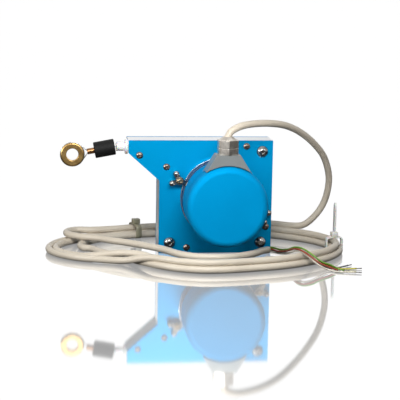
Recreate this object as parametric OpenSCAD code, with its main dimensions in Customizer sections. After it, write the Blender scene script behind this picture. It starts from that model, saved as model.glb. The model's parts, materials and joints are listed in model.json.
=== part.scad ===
/* [Housing] */
// Room over and under the drum, inside the frame
head_room = 3; // [2.6:0.1:6]
// Room beside the drum, on the wire's side
side_room = 6; // [5:0.5:15]
// Thickness of the front and back plates
plate_t = 3; // [2:0.5:5]
// Depth of the frame between the plates
frame_depth = 20; // [20:0.5:30]
// Wall of the frame
wall = 2; // [1.6:0.1:2.4]
// How far the spur reaches past the plate's left edge
spur_reach = 23; // [18:1:35]
// How far the spur's lower corner lies under the wire
nose_drop = 3.6; // [3:0.1:5]
// Drop of the spur's slope, from its lower corner to the left edge
slope_drop = 20.5; // [16:0.5:24]

/* [Fasteners] */
// Distance of the corner posts from the plates' edges
post_inset = 8; // [7.5:0.5:9]
// Radius of the corner posts
post_r = 4.5; // [4:0.1:5]
// Radius of the corner screws' shanks
corner_screw_r = 2; // [1.5:0.1:2.4]
// Radius of the corner screws' heads
corner_head_r = 4.5; // [3.6:0.1:5]
// Radius of the plate screws' shanks
plate_screw_r = 1.2; // [1:0.1:1.4]
// Radius of the plate screws' heads
plate_head_r = 2.6; // [2.2:0.1:3]
// Radius of the frame's screw bosses
boss_r = 3.2; // [3:0.1:3.6]
// Spacing of the threaded mounting holes in the back
mount_pitch = 50; // [44:1:54]
// Radius of the mounting holes, M4 tapping size
mount_hole_r = 1.65; // [1.25:0.05:2.1]

/* [Drum and wire] */
// Radius of the wire's centre on the drum
drum_r = 36.6; // [33:0.1:37]
// Radius of the measuring wire
wire_r = 0.4; // [0.3:0.05:0.5]
// Width of the drum between its outer faces
drum_w = 14; // [13.6:0.1:15]
// Number of full turns left on the drum at rest
wound_turns = 7; // [5:1:7]
// Radius of the drum shaft's bearing seats
shaft_r = 3; // [2.5:0.1:3.2]
// Outer radius of the ball bearings
bearing_r = 6.5; // [6.2:0.1:7]
// Width of the ball bearings
bearing_w = 5; // [4:0.25:5]
// Thickness of the spring strip
spring_t = 0.5; // [0.3:0.05:0.7]
// Width of the spring strip
spring_w = 9.5; // [8:0.5:10]
// Turns of the spring
spring_turns = 7; // [5:1:8]

/* [Encoder] */
// How far the flange reaches past the encoder's body
flange_step = 0.5; // [0:0.1:1]
// Thickness of the flange's clamping lip
lip_t = 3; // [2.5:0.1:3.5]
// Depth of the groove between the flange and the body
neck_step = 4.5; // [4.3:0.1:6]
// Length of the neck in front of the lip
neck_l = 12; // [11:0.5:16]
// Length of the encoder's body ring
body_l = 16; // [15.5:0.5:22]
// Radius of the encoder's body and cap
cap_r = 29.5; // [28.5:0.1:31]
// Length of the cap's visible side
cap_l = 15.5; // [14:0.5:24]
// Wall of the cap
cap_wall = 1.8; // [1.2:0.1:2.4]
// Radius of the encoder shaft
encoder_shaft_r = 3; // [2.5:0.1:3.2]
// Room between the code disc and the board's posts
disc_room = 2.7; // [1.7:0.1:5]

/* [Cable outlet] */
// Height of the outlet boss over the encoder's axis
outlet_h = 37.5; // [36.5:0.1:41]
// Half the width of the boss's top
outlet_half_w = 8.6; // [8.2:0.1:10]
// Angle of the boss's sides from vertical
outlet_slope = 32; // [20:1:40]
// Depth of the boss
outlet_depth = 15; // [14.5:0.5:18]
// Width across the gland's flats
gland_af = 14.4; // [12:0.1:15]
// Radius of the gland's thread
gland_thread_r = 4.5; // [4:0.1:5]

/* [Wire end] */
// Length of the inlet nozzle's tube
nozzle_l = 6.7; // [4:0.1:12]
// Radius of the inlet nozzle's flange
nozzle_flange_r = 5.7; // [4.5:0.1:7]
// Angle at which the wire end droops
droop = 10.5; // [0:0.5:14]
// Length of the rubber buffer
sleeve_l = 15.4; // [10:0.1:25]
// Radius of the rubber buffer
sleeve_r = 6; // [4.5:0.1:8]
// Length of the crimped ferrule
ferrule_l = 5.3; // [4:0.1:9]
// Outer radius of the eye ring
eye_r = 8.9; // [8:0.1:12]
// Radius of the eye ring's bore
eye_bore_r = 4.5; // [3.5:0.1:5.5]
// Thickness of the eye ring
eye_t = 4; // [3.4:0.1:6]

/* [Cable] */
// Diameter of the cable
cable_d = 5.2; // [4.8:0.1:5.4]
// Diameter of a core
core_d = 1.2; // [1:0.1:1.4]
// Height of the coil, two layers
coil_h = 9.8; // [9:0.1:12]

/* [Hidden] */
$fn = 64;

// Clearances
seat_gap = 0.02;
run_gap = 0.02;
fit_gap = 0.1;
move_gap = 0.4;
hole_gap = 0.3;

// Depths are counted forwards from the middle of the housing: front = +, back = -
half_in = frame_depth / 2;
face = half_in + plate_t;

// Drum
rim_t = 4.3;
core_r = drum_r - wire_r - seat_gap;
rim_in_r = core_r - rim_t;
drum_flange_r = drum_r + wire_r + 0.1;
drum_flange_t = 1;
drum_room = drum_flange_r + move_gap + wall;
plate_h = 2 * (drum_room + head_room);
plate_w = 2 * drum_room + side_room;
left = -plate_w / 2;
right = plate_w / 2;
nose_x = left - spur_reach;
axis_x = right - drum_room;
axis_z = plate_h / 2;
wire_z = axis_z + drum_r;
nose_low = wire_z - nose_drop;
slope_foot = nose_low - slope_drop;
slope_m = slope_drop / spur_reach;
slope_len = sqrt(1 + slope_m * slope_m);
web_t = 2;
web_hole_r = 5;
drum_front = drum_w / 2;
web_back = drum_front - web_t;
hub_r = 8;
hub_front = half_in - 0.6;
hub_back = web_back - 1.6;
socket_r = shaft_r + 2;
socket_floor = 1;
wire_pitch = 2 * wire_r;

// Arbor, bearings and spring
arbor_front = hub_back - move_gap;
arbor_r = bearing_r + 2.5;
arbor_flange_r = 14;
arbor_flange_t = 2;
arbor_screw_ring = 11.5;
arbor_screw_r = 1;
bearing_shoulder = 1;
arbor_step = arbor_front - bearing_w;
arbor_seat = arbor_step - bearing_shoulder;
shaft_back = arbor_seat - bearing_w - 0.4;
spring_front = web_back - 1;
spring_in_r = arbor_r + 0.4;
spring_out_r = rim_in_r - 0.1;
spring_steps = 20;

// Encoder stations
flange_r = cap_r + flange_step;
neck_r = cap_r - neck_step;
lip_front = face + lip_t;
neck_front = lip_front + neck_l;
spigot_r = 18;
spigot_back = half_in + 0.5;
body_back_t = 3;
body_spigot_r = neck_r - 2;
body_in_r = cap_r - 2.5;
board_bay = neck_front + body_back_t;
body_front = neck_front + body_l;
gasket_t = 0.5;
cap_back = body_front + gasket_t;
cap_front = cap_back + cap_l;
cap_fillet = 2.5;
skirt_t = 1.5;
skirt_l = 3;
encoder_bearing_back = spigot_back + 0.5;
hub2_back = board_bay + 2;
disc_back = hub2_back + 2.2;
disc_t = 1;
encoder_shaft_end = disc_back + disc_t + 0.6;
board_back = board_bay + 7.5;
board_t = 1.6;
board_r = body_in_r - skirt_t - 1.5;
board_edge = 3.5;
board_post_ring = board_r - board_edge;
board_post_r = 1.8;
disc_r = board_post_ring - board_post_r - disc_room;
track_edge = 5;
track_r = disc_r - track_edge;

// Wire guide in the spur
guide_screw_drop = 5;
guide_l = 11;
guide_start = wall + 2.4;
guide_low = nose_low - 3;
felt_r = 3.2;
felt_l = 3.6;
eyelet_r = 2.4;
eyelet_l = 2;

// Outlet and gland
outlet_front = cap_front - 3;
outlet_back = outlet_front - outlet_depth;
outlet_gap = 0.6;
gland_depth = outlet_front - outlet_depth / 2;
outlet_z = axis_z + outlet_h;
gland_thread_l = 4.8;
gland_hex_h = 4.9;
gland_nut_h = 5.4;
gland_dome_h = 2.4;
channel_r = 2;
channel_z = outlet_z - 2.9;
channel_depth = body_front - 2.7;
cable_r = cable_d / 2;

// Servo clamps, placed round the encoder's axis
clamp_angles = [157, 337];
clamp_t = 2.5;
clamp_ring = flange_r + 3.6;
clamp_foot_out = 4.4;
clamp_foot_side = 3.9;
clamp_finger_in = clamp_ring - neck_r - 2;
clamp_screw_r = 1.4;

// Screw places: corners, and [x, z] of the plate screws
corners = [[left + post_inset, post_inset], [right - post_inset, post_inset],
           [right - post_inset, plate_h - post_inset]];
edge_inset = 4.2;
clamp_foot_r = 2.1;
low_foot = [(clamp_ring + clamp_foot_out) * cos(clamp_angles[1]) + clamp_foot_side * sin(clamp_angles[1]),
            (clamp_ring + clamp_foot_out) * sin(clamp_angles[1]) - clamp_foot_side * cos(clamp_angles[1])];
head_clear = clamp_foot_r + plate_head_r + 0.05;
foot_aside = right - edge_inset - axis_x - low_foot[0];
low_screw_z = axis_z + low_foot[1] - sqrt(max(0, head_clear * head_clear - foot_aside * foot_aside));
frame_screws = [[left + 5.2, slope_foot + 10.4], [right - 20, plate_h - edge_inset],
                [right - edge_inset, low_screw_z], [left + 21, edge_inset]];
guide_screw = [nose_x + 8, wire_z - guide_screw_drop];

// Wire end
droop_x = nose_x - 2 - nozzle_l - 0.2 + 0.4;
nozzle_flange_t = 2;
sleeve_start = 1.2;
sleeve_end = sleeve_start + sleeve_l;
ferrule_end = sleeve_end + 0.1 + ferrule_l;
eye_centre = ferrule_end + 2.3 + eye_r;
loop_r = eye_r - 0.1;
rope_end = sleeve_end + 2;

// Coil: outer and inner ovals
coil_c = [-16, -12];
coil_radii = [114, 109, 98, 87.5, 80, 76.5, 75.5, 76.5, 80.5, 87.5, 98, 109,
              110, 96, 75, 66, 65.5, 69.5, 73, 74.5, 78, 86, 96, 107.5];
coil_widths = [11, 11, 12, 13, 15, 16, 16, 16, 16, 16, 18, 22, 22, 18, 14, 12, 12, 12, 12, 12, 12, 12, 12, 11];
coil_bevel = 1.3;
coil_steps = 72;
tie_t = 1.1;
tie_w = 4.6;
tie_gap = 0.05;

// Routes in millimetres
lead_route = [[axis_x, -gland_depth, outlet_z - 3.5], [axis_x, -gland_depth, outlet_z + 5],
              [axis_x, -gland_depth, outlet_z + 11], [axis_x, -gland_depth, outlet_z + 14],
              [6.5, -48, 97.2], [14, -44.5, 100], [24.5, -38, 100.8],
              [37.5, -29, 100], [51, -17.5, 97], [64.5, -5, 90.5], [77.5, 6.5, 80.6], [88, 16.5, 68.6],
              [94, 24, 53], [94, 27.5, 39.5], [90.8, 29, 28.6], [84.6, 29.6, 19.5], [76.7, 31, 13.4],
              [68, 35.5, 11.8], [58, 41, 9.5], [48, 45.5, 7.4]];
tail_route = [[-91, 41, 7.4], [-100, 41.5, 7.6], [-107.5, 37, 7.8], [-110.5, 29, 7.8], [-107.5, 20.8, 7.8],
              [-101, 14.8, 7.8], [-92.5, 10, 7.8], [-84, 4.5, 7.8], [-76, -2, 7.6], [-66.5, -9, 7.6],
              [-54, -20.5, 7.6], [-41, -35, 7.6], [-31, -52, 7.6], [-17, -63, 7.8], [3, -64, 7.8],
              [21, -50, 6.5], [33, -29, 4.5], [39.6, -19, 3.2]];
green_route = [[39.5, -19.6, 4.7], [42.8, -18.4, 5], [47.2, -25.9, 5], [50.6, -39.7, 7.9],
               [53.5, -53.3, 12.4], [57.2, -63.7, 13.4], [62.5, -72.6, 10.6], [68.5, -76.5, 6.5],
               [75.1, -77.4, 4.2], [81.8, -77.6, 0.7], [88, -80.2, 0.7]];
brown_route = [[39.8, -20.7, 3.5], [41.9, -19.5, 3.5], [46, -26.5, 3.6], [49.4, -40.3, 6.6],
               [52.4, -53.8, 11.2], [56.1, -64.1, 12.1], [61.2, -73, 9.4], [67.5, -77.4, 5.4],
               [74.3, -78.7, 2.8], [78.8, -79.4, 1.1], [83.2, -82, 0.7]];
white_route = [[39.6, -19.9, 2], [42.6, -18.7, 1.7], [47.1, -26.4, 1.9], [50.6, -40.5, 4.9],
               [53.4, -53.9, 9.6], [56.9, -63.6, 10.5], [61.6, -71.9, 7.9], [67.2, -76.5, 3.7],
               [73.8, -78.2, 0.9], [79.2, -83.6, 0.7], [95.3, -87, 0.7]];
grey_route = [[39.1, -18.4, 2.4], [43.8, -17.2, 2.2], [48.7, -25.7, 2.3], [52.2, -40, 5.4],
              [54.9, -53.4, 10], [58.4, -63, 10.9], [62.9, -71, 8.3], [68, -74.6, 4.4],
              [74.3, -75.5, 1.6], [80.2, -71.6, 0.7], [94, -61.2, 0.7]];
yellow_route = [[39, -18.2, 4], [43.9, -17, 4.1], [48.8, -25.4, 4.1], [52.3, -39.5, 7.1],
                [55, -53, 11.7], [58.6, -63, 12.6], [63.5, -71.3, 9.9], [68.8, -74.9, 5.8],
                [75, -75.6, 3.3], [83.5, -74.6, 0.7], [98.6, -73.6, 0.7]];

// Points of a smooth curve through a route, steps to each stretch
function spline(a, b, c, d, t) =
    0.5 * (2 * b + (c - a) * t + (2 * a - 5 * b + 4 * c - d) * t * t + (3 * b - a - 3 * c + d) * t * t * t);
function smooth(route, steps) =
    let (n = len(route) - 1)
    [for (i = [0 : n - 1], k = [0 : steps - 1])
        spline(route[max(i - 1, 0)], route[i], route[i + 1], route[min(i + 2, n)], k / steps),
     route[n]];
function unit(v) = v / norm(v);
function heading(p, i) = unit(p[min(i + 1, len(p) - 1)] - p[max(i - 1, 0)]);
function ring(c, t, ref, r, sides) =
    let (n = unit(cross(ref, t)), b = cross(t, n))
    [for (k = [0 : sides - 1]) c + r * (cos(360 * k / sides) * n + sin(360 * k / sides) * b)];

// The coil's edge from its radii, and a line a distance inside it
function wave(list, s) =
    let (n = len(list), i = floor(s) + n)
    spline(list[(i - 1) % n], list[i % n], list[(i + 1) % n], list[(i + 2) % n], s - floor(s));
function coil_edge(angle) = coil_c + wave(coil_radii, angle / 15) * [cos(angle), sin(angle)];
function coil_heading(angle) = unit(coil_edge(angle + 1) - coil_edge(angle - 1));
function coil_inset(angle, d) = let (t = coil_heading(angle)) coil_edge(angle) + d * [-t[1], t[0]];
function coil_width(angle) = wave(coil_widths, angle / 15);
function coil_loop(d) = [for (k = [0 : coil_steps - 1]) let (a = 360 * k / coil_steps) coil_inset(a, d)];
function coil_inner_loop(d) =
    [for (k = [0 : coil_steps - 1]) let (a = 360 * k / coil_steps) coil_inset(a, coil_width(a) - d)];

// Spiral strip between two radii
function spiral(r0, r1, turns, steps) =
    [for (k = [0 : turns * steps]) (r0 + (r1 - r0) * k / (turns * steps)) * [cos(360 * k / steps), sin(360 * k / steps)]];

module tube(path, r, sides, ref) {
    n = len(path);
    points = [for (i = [0 : n - 1]) each ring(path[i], heading(path, i), ref, r, sides)];
    walls = [for (i = [0 : n - 2], k = [0 : sides - 1])
        let (a = i * sides + k, b = i * sides + (k + 1) % sides)
        [a, a + sides, b + sides, b]];
    ends = [[for (k = [0 : sides - 1]) k], [for (k = [sides - 1 : -1 : 0]) (n - 1) * sides + k]];
    polyhedron(points, concat(walls, ends));
}

// Draws a flat shape in x and z, from one depth to another
module upright(from, to) rotate([90, 0, 0]) translate([0, 0, from]) linear_extrude(to - from) children();
// Local z runs forwards from the middle of the housing
module on_axis() translate([axis_x, 0, axis_z]) rotate([90, 0, 0]) children();
module rod(r, from, to) translate([0, 0, from]) cylinder(r = r, h = to - from);
module pin_at(p, r, from, to) translate([p[0], 0, p[1]]) rotate([90, 0, 0]) rod(r, from, to);
// Local z runs along the wire, away from the housing
module along_wire() translate([nose_x, 0, wire_z]) rotate([0, -90, 0]) children();
module along_end() translate([droop_x, 0, wire_z]) rotate([0, -90 - droop, 0]) children();
module turned() rotate_extrude() children();
module bearing(inner, outer, w) {
    shield = 0.4;
    difference() {
        rod(outer, 0, w);
        rod(inner, -1, w + 1);
        for (z = [-1, w - shield]) translate([0, 0, z]) difference() {
            rod(outer - 0.9, 0, shield + 1);
            rod(inner + 0.9, -1, shield + 2);
        }
    }
}

// Outline of plates and frame, drawn in by d
function slope_z(x, d) = nose_low - slope_m * (x - nose_x) + d * slope_len;
module outline(d) polygon([[left + d, d], [right - d, d], [right - d, plate_h - d], [nose_x + d, plate_h - d],
                           [nose_x + d, slope_z(nose_x + d, d)], [left + d, slope_z(left + d, d)]]);

module screw_holes(from, to, corner_r, small_r) {
    for (p = corners) pin_at(p, corner_r, from, to);
    for (p = concat(frame_screws, [guide_screw])) pin_at(p, small_r, from, to);
}

module front_plate() color("#0a8fd6") difference() {
    upright(half_in, face) outline(0);
    screw_holes(half_in - 1, face + 1, corner_screw_r + hole_gap, plate_screw_r + hole_gap);
    on_axis() rod(spigot_r + 0.05, half_in - 1, face + 1);
    on_axis() for (a = clamp_angles) rotate(a) translate([clamp_ring, 0, 0])
        rod(clamp_screw_r + seat_gap, half_in - 1, face + 1);
}

module back_plate() color("#0a8fd6") difference() {
    upright(-face, -half_in) outline(0);
    screw_holes(-face - 1, -half_in + 1, corner_screw_r + hole_gap, plate_screw_r + hole_gap);
    on_axis() for (a = [45 : 90 : 315]) rotate(a) translate([arbor_screw_ring, 0, 0])
        rod(arbor_screw_r + hole_gap, -face - 1, -half_in + 1);
    bush_places() rod(bush_r + seat_gap, -face - 1, -half_in + 1);
}

module housing_frame() color("#b9bcc0") difference() {
    union() {
        difference() {
            upright(-half_in, half_in) outline(0);
            upright(-half_in - 1, half_in + 1) outline(wall);
        }
        intersection() {
            upright(-half_in, half_in) outline(0);
            union() {
                for (p = frame_screws) pin_at(p, boss_r, -half_in, half_in);
                upright(-half_in, half_in) bridges();
            }
        }
    }
    for (p = frame_screws) pin_at(p, plate_screw_r + seat_gap, -half_in - 1, half_in + 1);
    along_wire() rod(nozzle_shank_r + seat_gap, -wall - 1, 1);
}
// Ribs from each boss to the nearest wall
module bridges() {
    rib = 2 * boss_r;
    p = frame_screws;
    down = p[0][1] - slope_foot;
    translate(p[0]) rotate(atan2(-slope_m, 1)) translate([-boss_r, -down]) square([rib, down]);
    translate(p[1] - [boss_r, 0]) square([rib, plate_h - p[1][1]]);
    translate(p[2] - [0, boss_r]) square([right - p[2][0], rib]);
    translate([p[3][0] - boss_r, 0]) square([rib, p[3][1]]);
}

module corner_posts() color("#a9acb0") for (p = corners) difference() {
    pin_at(p, post_r, -half_in, half_in);
    for (s = [-1, 1]) pin_at(p, corner_screw_r + seat_gap, min(s * 1, s * (half_in + 1)), max(s * 1, s * (half_in + 1)));
}

corner_head_h = 3;
corner_shank_l = plate_t + 6.5;
module corner_screws() color("#8d8f90") for (p = corners, s = [0, 180])
    translate([p[0], 0, p[1]]) rotate([90, 0, s]) translate([0, 0, face]) button_screw(corner_head_r, corner_head_h, corner_screw_r, corner_shank_l, 1.6);

plate_head_h = 1.3;
plate_shank_l = plate_t + 5;
module plate_screws() color("#77797a") for (p = concat(frame_screws, [guide_screw]), s = [0, 180])
    translate([p[0], 0, p[1]]) rotate([90, 0, s]) translate([0, 0, face]) button_screw(plate_head_r, plate_head_h, plate_screw_r, plate_shank_l, 1);

// Domed screw with a hexagon socket, seated at z = 0
module button_screw(head_r, head_h, shank_r, shank_l, socket) {
    dome_r = (head_r * head_r + head_h * head_h) / (2 * head_h);
    rim_h = 0.3;
    difference() {
        union() {
            intersection() {
                translate([0, 0, head_h - dome_r]) sphere(r = dome_r);
                rod(head_r - 0.05, 0, head_h + 1);
            }
            rod(shank_r, -shank_l, rim_h);
        }
        translate([0, 0, head_h * 0.45]) cylinder(r = socket, h = head_h, $fn = 6);
    }
}

bush_r = 3.6;
bush_l = plate_t + 1.6;
module bush_places() for (x = [-1, 1], z = [-1, 1])
    translate([x * mount_pitch / 2, 0, plate_h / 2 + z * mount_pitch / 2]) rotate([90, 0, 0]) children();
module mount_bushes() color("#9a9c9f") bush_places() difference() {
    rod(bush_r, -face, -face + bush_l);
    rod(mount_hole_r, -face - 1, -face + bush_l + 1);
}

module spring_arbor() color("#c4c6c8") on_axis() difference() {
    union() {
        rod(arbor_flange_r, -half_in, -half_in + arbor_flange_t);
        rod(arbor_r, -half_in, arbor_front);
    }
    rod(bearing_r + seat_gap, -half_in - 1, arbor_seat);
    rod(bearing_r - 1, -half_in - 1, arbor_front + 1);
    rod(bearing_r + seat_gap, arbor_step, arbor_front + 1);
    for (a = [45 : 90 : 315]) rotate(a) translate([arbor_screw_ring, 0, 0])
        rod(arbor_screw_r + seat_gap, -half_in - 1, -half_in + arbor_flange_t + 1);
}

module arbor_screws() color("#8d8f90") on_axis() for (a = [45 : 90 : 315]) rotate(a)
    translate([arbor_screw_ring, 0, -face]) mirror([0, 0, 1])
        button_screw(2, 1.2, arbor_screw_r, plate_t + arbor_flange_t - 0.2, 0.8);

module drum_bearings() color("#c9cbcd") on_axis() {
    translate([0, 0, arbor_step]) bearing(shaft_r + run_gap, bearing_r, bearing_w);
    translate([0, 0, arbor_seat - bearing_w]) bearing(shaft_r + run_gap, bearing_r, bearing_w);
}

module drum() color("#d9dadb") on_axis() difference() {
    union() {
        difference() {
            union() {
                rod(core_r, -drum_front, drum_front);
                for (z = [-drum_front, drum_front - drum_flange_t]) rod(drum_flange_r, z, z + drum_flange_t);
            }
            rod(rim_in_r, -drum_front - 1, web_back);
        }
        rod(hub_r, hub_back, hub_front);
    }
    rod(socket_r + seat_gap, hub_back - 1, hub_front + 1);
    for (a = [30 : 60 : 330]) rotate(a) translate([(hub_r + rim_in_r) / 2, 0, 0]) rod(web_hole_r, web_back - 1, drum_front + 1);
    for (a = [0, 90]) rotate(a) translate([0, 0, grub_z]) rotate([0, 90, 0]) rod(grub_r + seat_gap, 0, hub_r + 1);
}

grub_wall = 0.3;
grub_r = (hub_front - drum_front) / 2 - grub_wall;
grub_z = (drum_front + hub_front) / 2;
module drum_shaft() color("#aeb1b4") on_axis() difference() {
    union() {
        rod(shaft_r, shaft_back, hub_back);
        rod(socket_r, hub_back, hub_front);
    }
    rod(encoder_shaft_r + seat_gap, hub_back + socket_floor, hub_front + 1);
    for (a = [0, 90]) rotate(a) translate([0, 0, grub_z]) rotate([0, 90, 0]) rod(grub_r + seat_gap, 0, hub_r + 1);
}
module shaft_grub_screws() color("#4c4e50") on_axis() for (a = [0, 90]) rotate(a)
    translate([0, 0, grub_z]) rotate([0, 90, 0]) rod(grub_r, encoder_shaft_r + 0.1, hub_r - 0.3);

module power_spring() color("#5f676e") on_axis() translate([0, 0, spring_front - spring_w]) linear_extrude(spring_w) {
    inner = spiral(spring_in_r, spring_out_r - spring_t, spring_turns, spring_steps);
    outer = spiral(spring_in_r + spring_t, spring_out_r, spring_turns, spring_steps);
    polygon(concat(inner, [for (k = [len(outer) - 1 : -1 : 0]) outer[k]]));
}

module wire_winding() color("#9da0a3") on_axis() turned() {
    for (i = [1 : wound_turns]) translate([drum_r, i * wire_pitch]) circle(r = wire_r, $fn = 24);
    translate([drum_r - wire_r + 0.15, wire_pitch]) square([wire_r - 0.15, (wound_turns - 1) * wire_pitch]);
}

nozzle_shank_r = 2.5;
nozzle_tube_r = 3.4;
nozzle_bore_r = 0.9;
module inlet_nozzle() color("#ece9ea") along_wire() difference() {
    union() {
        rod(nozzle_flange_r, 0, nozzle_flange_t);
        rod(nozzle_tube_r, 0, nozzle_flange_t + nozzle_l);
        rod(nozzle_shank_r, -wall - 1.2, 0);
    }
    rod(nozzle_bore_r, -wall - 3, nozzle_flange_t + nozzle_l + 1);
}

module wire_guide() color("#e8e6df") difference() {
    intersection() {
        upright(-half_in, half_in) outline(wall + fit_gap);
        translate([nose_x + guide_start, -half_in, guide_low]) cube([guide_l, frame_depth, plate_h]);
    }
    pin_at(guide_screw, plate_screw_r + seat_gap, -half_in - 1, half_in + 1);
    along_wire() rod(1.2, -guide_start - guide_l - 1, 0);
    along_wire() rod(felt_r + seat_gap, -guide_start - felt_l, 0);
    along_wire() rod(eyelet_r + seat_gap, -guide_start - guide_l - 1, -guide_start - guide_l + eyelet_l);
}
module wiper_felt() color("#8a8378") along_wire() difference() {
    rod(felt_r, -guide_start - felt_l, -guide_start);
    rod(wire_r + 0.05, -guide_start - felt_l - 1, -guide_start + 1);
}
module guide_eyelet() color("#f2f2ee") along_wire() translate([0, 0, -guide_start - guide_l]) difference() {
    union() {
        rod(eyelet_r, 0, eyelet_l);
        rod(eyelet_r + 0.8, -1, 0);
    }
    rod(wire_r + 0.2, -2, eyelet_l + 1);
    translate([0, 0, -1]) cylinder(r1 = 1.6, r2 = wire_r + 0.2, h = 1.2);
}

rope_lap = 0.15;
module wire_rope() color("#8e9194") union() {
    start_x = axis_x - 8.5;
    translate([start_x, 0, wire_z]) rotate([0, -90, 0]) rod(wire_r, 0, start_x - droop_x + rope_lap);
    along_end() rod(wire_r - 0.01, -rope_lap, rope_end);
}
module buffer_sleeve() color("#1d1e1f") along_end() difference() {
    turned() {
        edge = 0.7;
        translate([0, sleeve_start]) square([sleeve_r - edge, sleeve_l]);
        translate([0, sleeve_start + edge]) square([sleeve_r, sleeve_l - 2 * edge]);
        for (z = [sleeve_start + edge, sleeve_end - edge]) translate([sleeve_r - edge, z]) circle(r = edge, $fn = 32);
    }
    rod(wire_r + 0.1, sleeve_start - 1, sleeve_end + 1);
}
module crimp_ferrule() color("#9c7143") along_end() difference() {
    rod(2.2, sleeve_end + 0.1, ferrule_end);
    rod(wire_r + 0.1, sleeve_end - 1, rope_end + 0.2);
    loop_legs(wire_r + 0.05);
}
// The wire's loop round the eye ring and its two legs
module loop_legs(r) {
    reach = eye_centre - ferrule_end + 1;
    turn = acos(loop_r / reach);
    for (s = [-1, 1]) translate([0, 0, eye_centre - reach]) rotate([0, s * (90 - turn), 0])
        rod(r, 0, reach * sin(turn));
}
module rope_loop() color("#8e9194") along_end() union() {
    loop_legs(wire_r - 0.03);
    translate([0, 0, eye_centre]) rotate([90, 0, 0]) turned() translate([loop_r, 0]) circle(r = wire_r, $fn = 24);
}
module eye_ring() color("#a8813f") along_end() difference() {
    translate([0, 0, eye_centre]) rotate([90, 0, 0]) difference() {
        turned() {
            soft = 1.25;
            translate([eye_bore_r, 0.5 - eye_t / 2]) square([eye_r - eye_bore_r - soft, eye_t - 1]);
            translate([eye_bore_r + 0.5, -eye_t / 2]) square([eye_r - eye_bore_r - 0.5 - soft, eye_t]);
            translate([eye_r - soft, soft - eye_t / 2]) square([soft, eye_t - 2 * soft]);
            for (s = [-1, 1]) {
                translate([eye_r - soft, s * (eye_t / 2 - soft)]) circle(r = soft, $fn = 32);
                translate([eye_bore_r + 0.5, s * (eye_t / 2 - 0.5)]) circle(r = 0.5, $fn = 32);
            }
        }
        turned() translate([loop_r, 0]) circle(r = wire_r + 0.06, $fn = 24);
    }
    loop_legs(wire_r + 0.02);
}

module encoder_flange() color("#b4b8bb") on_axis() difference() {
    union() {
        rod(spigot_r, spigot_back, face);
        rod(flange_r, face, lip_front);
        rod(neck_r, face, neck_front);
        rod(body_spigot_r, face, board_bay);
        for (a = [30 : 120 : 270]) rotate(a) translate([board_post_ring, 0, 0]) rod(board_post_r, neck_front, board_back);
    }
    rod(bearing_r - 1, spigot_back - 1, board_bay + 1);
    rod(bearing_r + seat_gap, spigot_back - 1, encoder_bearing_back + bearing_w);
    rod(bearing_r + seat_gap, neck_front - bearing_w, board_bay + 1);
    for (a = [30 : 120 : 270]) rotate(a) translate([board_post_ring, 0, 0]) rod(0.9 + seat_gap, board_back - 5, board_back + 1);
}
module encoder_bearings() color("#c9cbcd") on_axis() for (z = [encoder_bearing_back, neck_front - bearing_w])
    translate([0, 0, z]) bearing(encoder_shaft_r + run_gap, bearing_r, bearing_w);
module encoder_shaft() color("#b7babd") on_axis() rod(encoder_shaft_r, hub_back + socket_floor + 0.1, encoder_shaft_end);
module disc_hub() color("#b08d4c") on_axis() difference() {
    rod(encoder_shaft_r + 2.2, hub2_back, disc_back);
    rod(encoder_shaft_r + seat_gap, hub2_back - 1, disc_back + 1);
}
module code_disc() color("#cfe3e6") on_axis() difference() {
    rod(disc_r, disc_back, disc_back + disc_t);
    rod(encoder_shaft_r + seat_gap, disc_back - 1, disc_back + disc_t + 1);
}
module led_block() color("#2b2d2f") on_axis() translate([-4, track_r - 3, board_bay]) cube([8, 6, disc_back - board_bay - 0.8]);
module sensor_block() color("#2b2d2f") on_axis() translate([-4, track_r - 3, disc_back + disc_t + 0.7])
    cube([8, 6, board_back - disc_back - disc_t - 0.7]);
module encoder_board() color("#1f6b3a") on_axis() difference() {
    rod(board_r, board_back, board_back + board_t);
    for (a = [30 : 120 : 270]) rotate(a) translate([board_post_ring, 0, 0]) rod(1.1, board_back - 1, board_back + board_t + 1);
}
// x, y, width, depth and height of each part on the board
chips = [[-7, -6, 10, 10, 1.4], [7, -4, 5, 4, 1.2], [-14, -2, 4, 6, 1.2], [-6, 8, 12, 5, 3]];
module board_chips() color("#25272a") on_axis() translate([0, 0, board_back + board_t]) {
    for (c = chips) translate([c[0], c[1], 0]) cube([c[2], c[3], c[4]]);
}
module board_screws() color("#8d8f90") on_axis() for (a = [30 : 120 : 270]) rotate(a)
    translate([board_post_ring, 0, board_back + board_t]) button_screw(1.7, 1, 0.9, board_t + 4, 0.6);

// The outlet boss, in x and z from the encoder's axis
module outlet_shape() polygon([
    [-outlet_half_w, outlet_h], [outlet_half_w, outlet_h],
    [outlet_half_w + (outlet_h - cap_r * 0.7) * tan(outlet_slope), cap_r * 0.7],
    [-outlet_half_w - (outlet_h - cap_r * 0.7) * tan(outlet_slope), cap_r * 0.7]]);
module encoder_body() color("#9b9fa0") difference() {
    on_axis() difference() {
        union() {
            rod(cap_r, neck_front, body_front);
            translate([0, 0, outlet_back]) linear_extrude(outlet_depth) outlet_shape();
        }
        rod(body_spigot_r + seat_gap, neck_front - 1, board_bay + 1);
        rod(body_in_r, board_bay, body_front + 0.01);
        rod(cap_r + outlet_gap, body_front, outlet_front + 1);
    }
    translate([axis_x, -gland_depth, outlet_z - gland_thread_l]) cylinder(r = gland_thread_r + seat_gap, h = gland_thread_l + 1);
    translate([axis_x, -channel_depth, channel_z]) rotate([90, 0, 0]) cylinder(r = channel_r, h = gland_depth - channel_depth);
    translate([axis_x, -channel_depth, axis_z + body_in_r - 2]) cylinder(r = channel_r, h = channel_z - axis_z - body_in_r + 2);
}
module cap_gasket() color("#202224") on_axis() difference() {
    rod(cap_r - 0.2, body_front, cap_back);
    rod(body_in_r + 0.1, body_front - 1, cap_back + 1);
}
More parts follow.
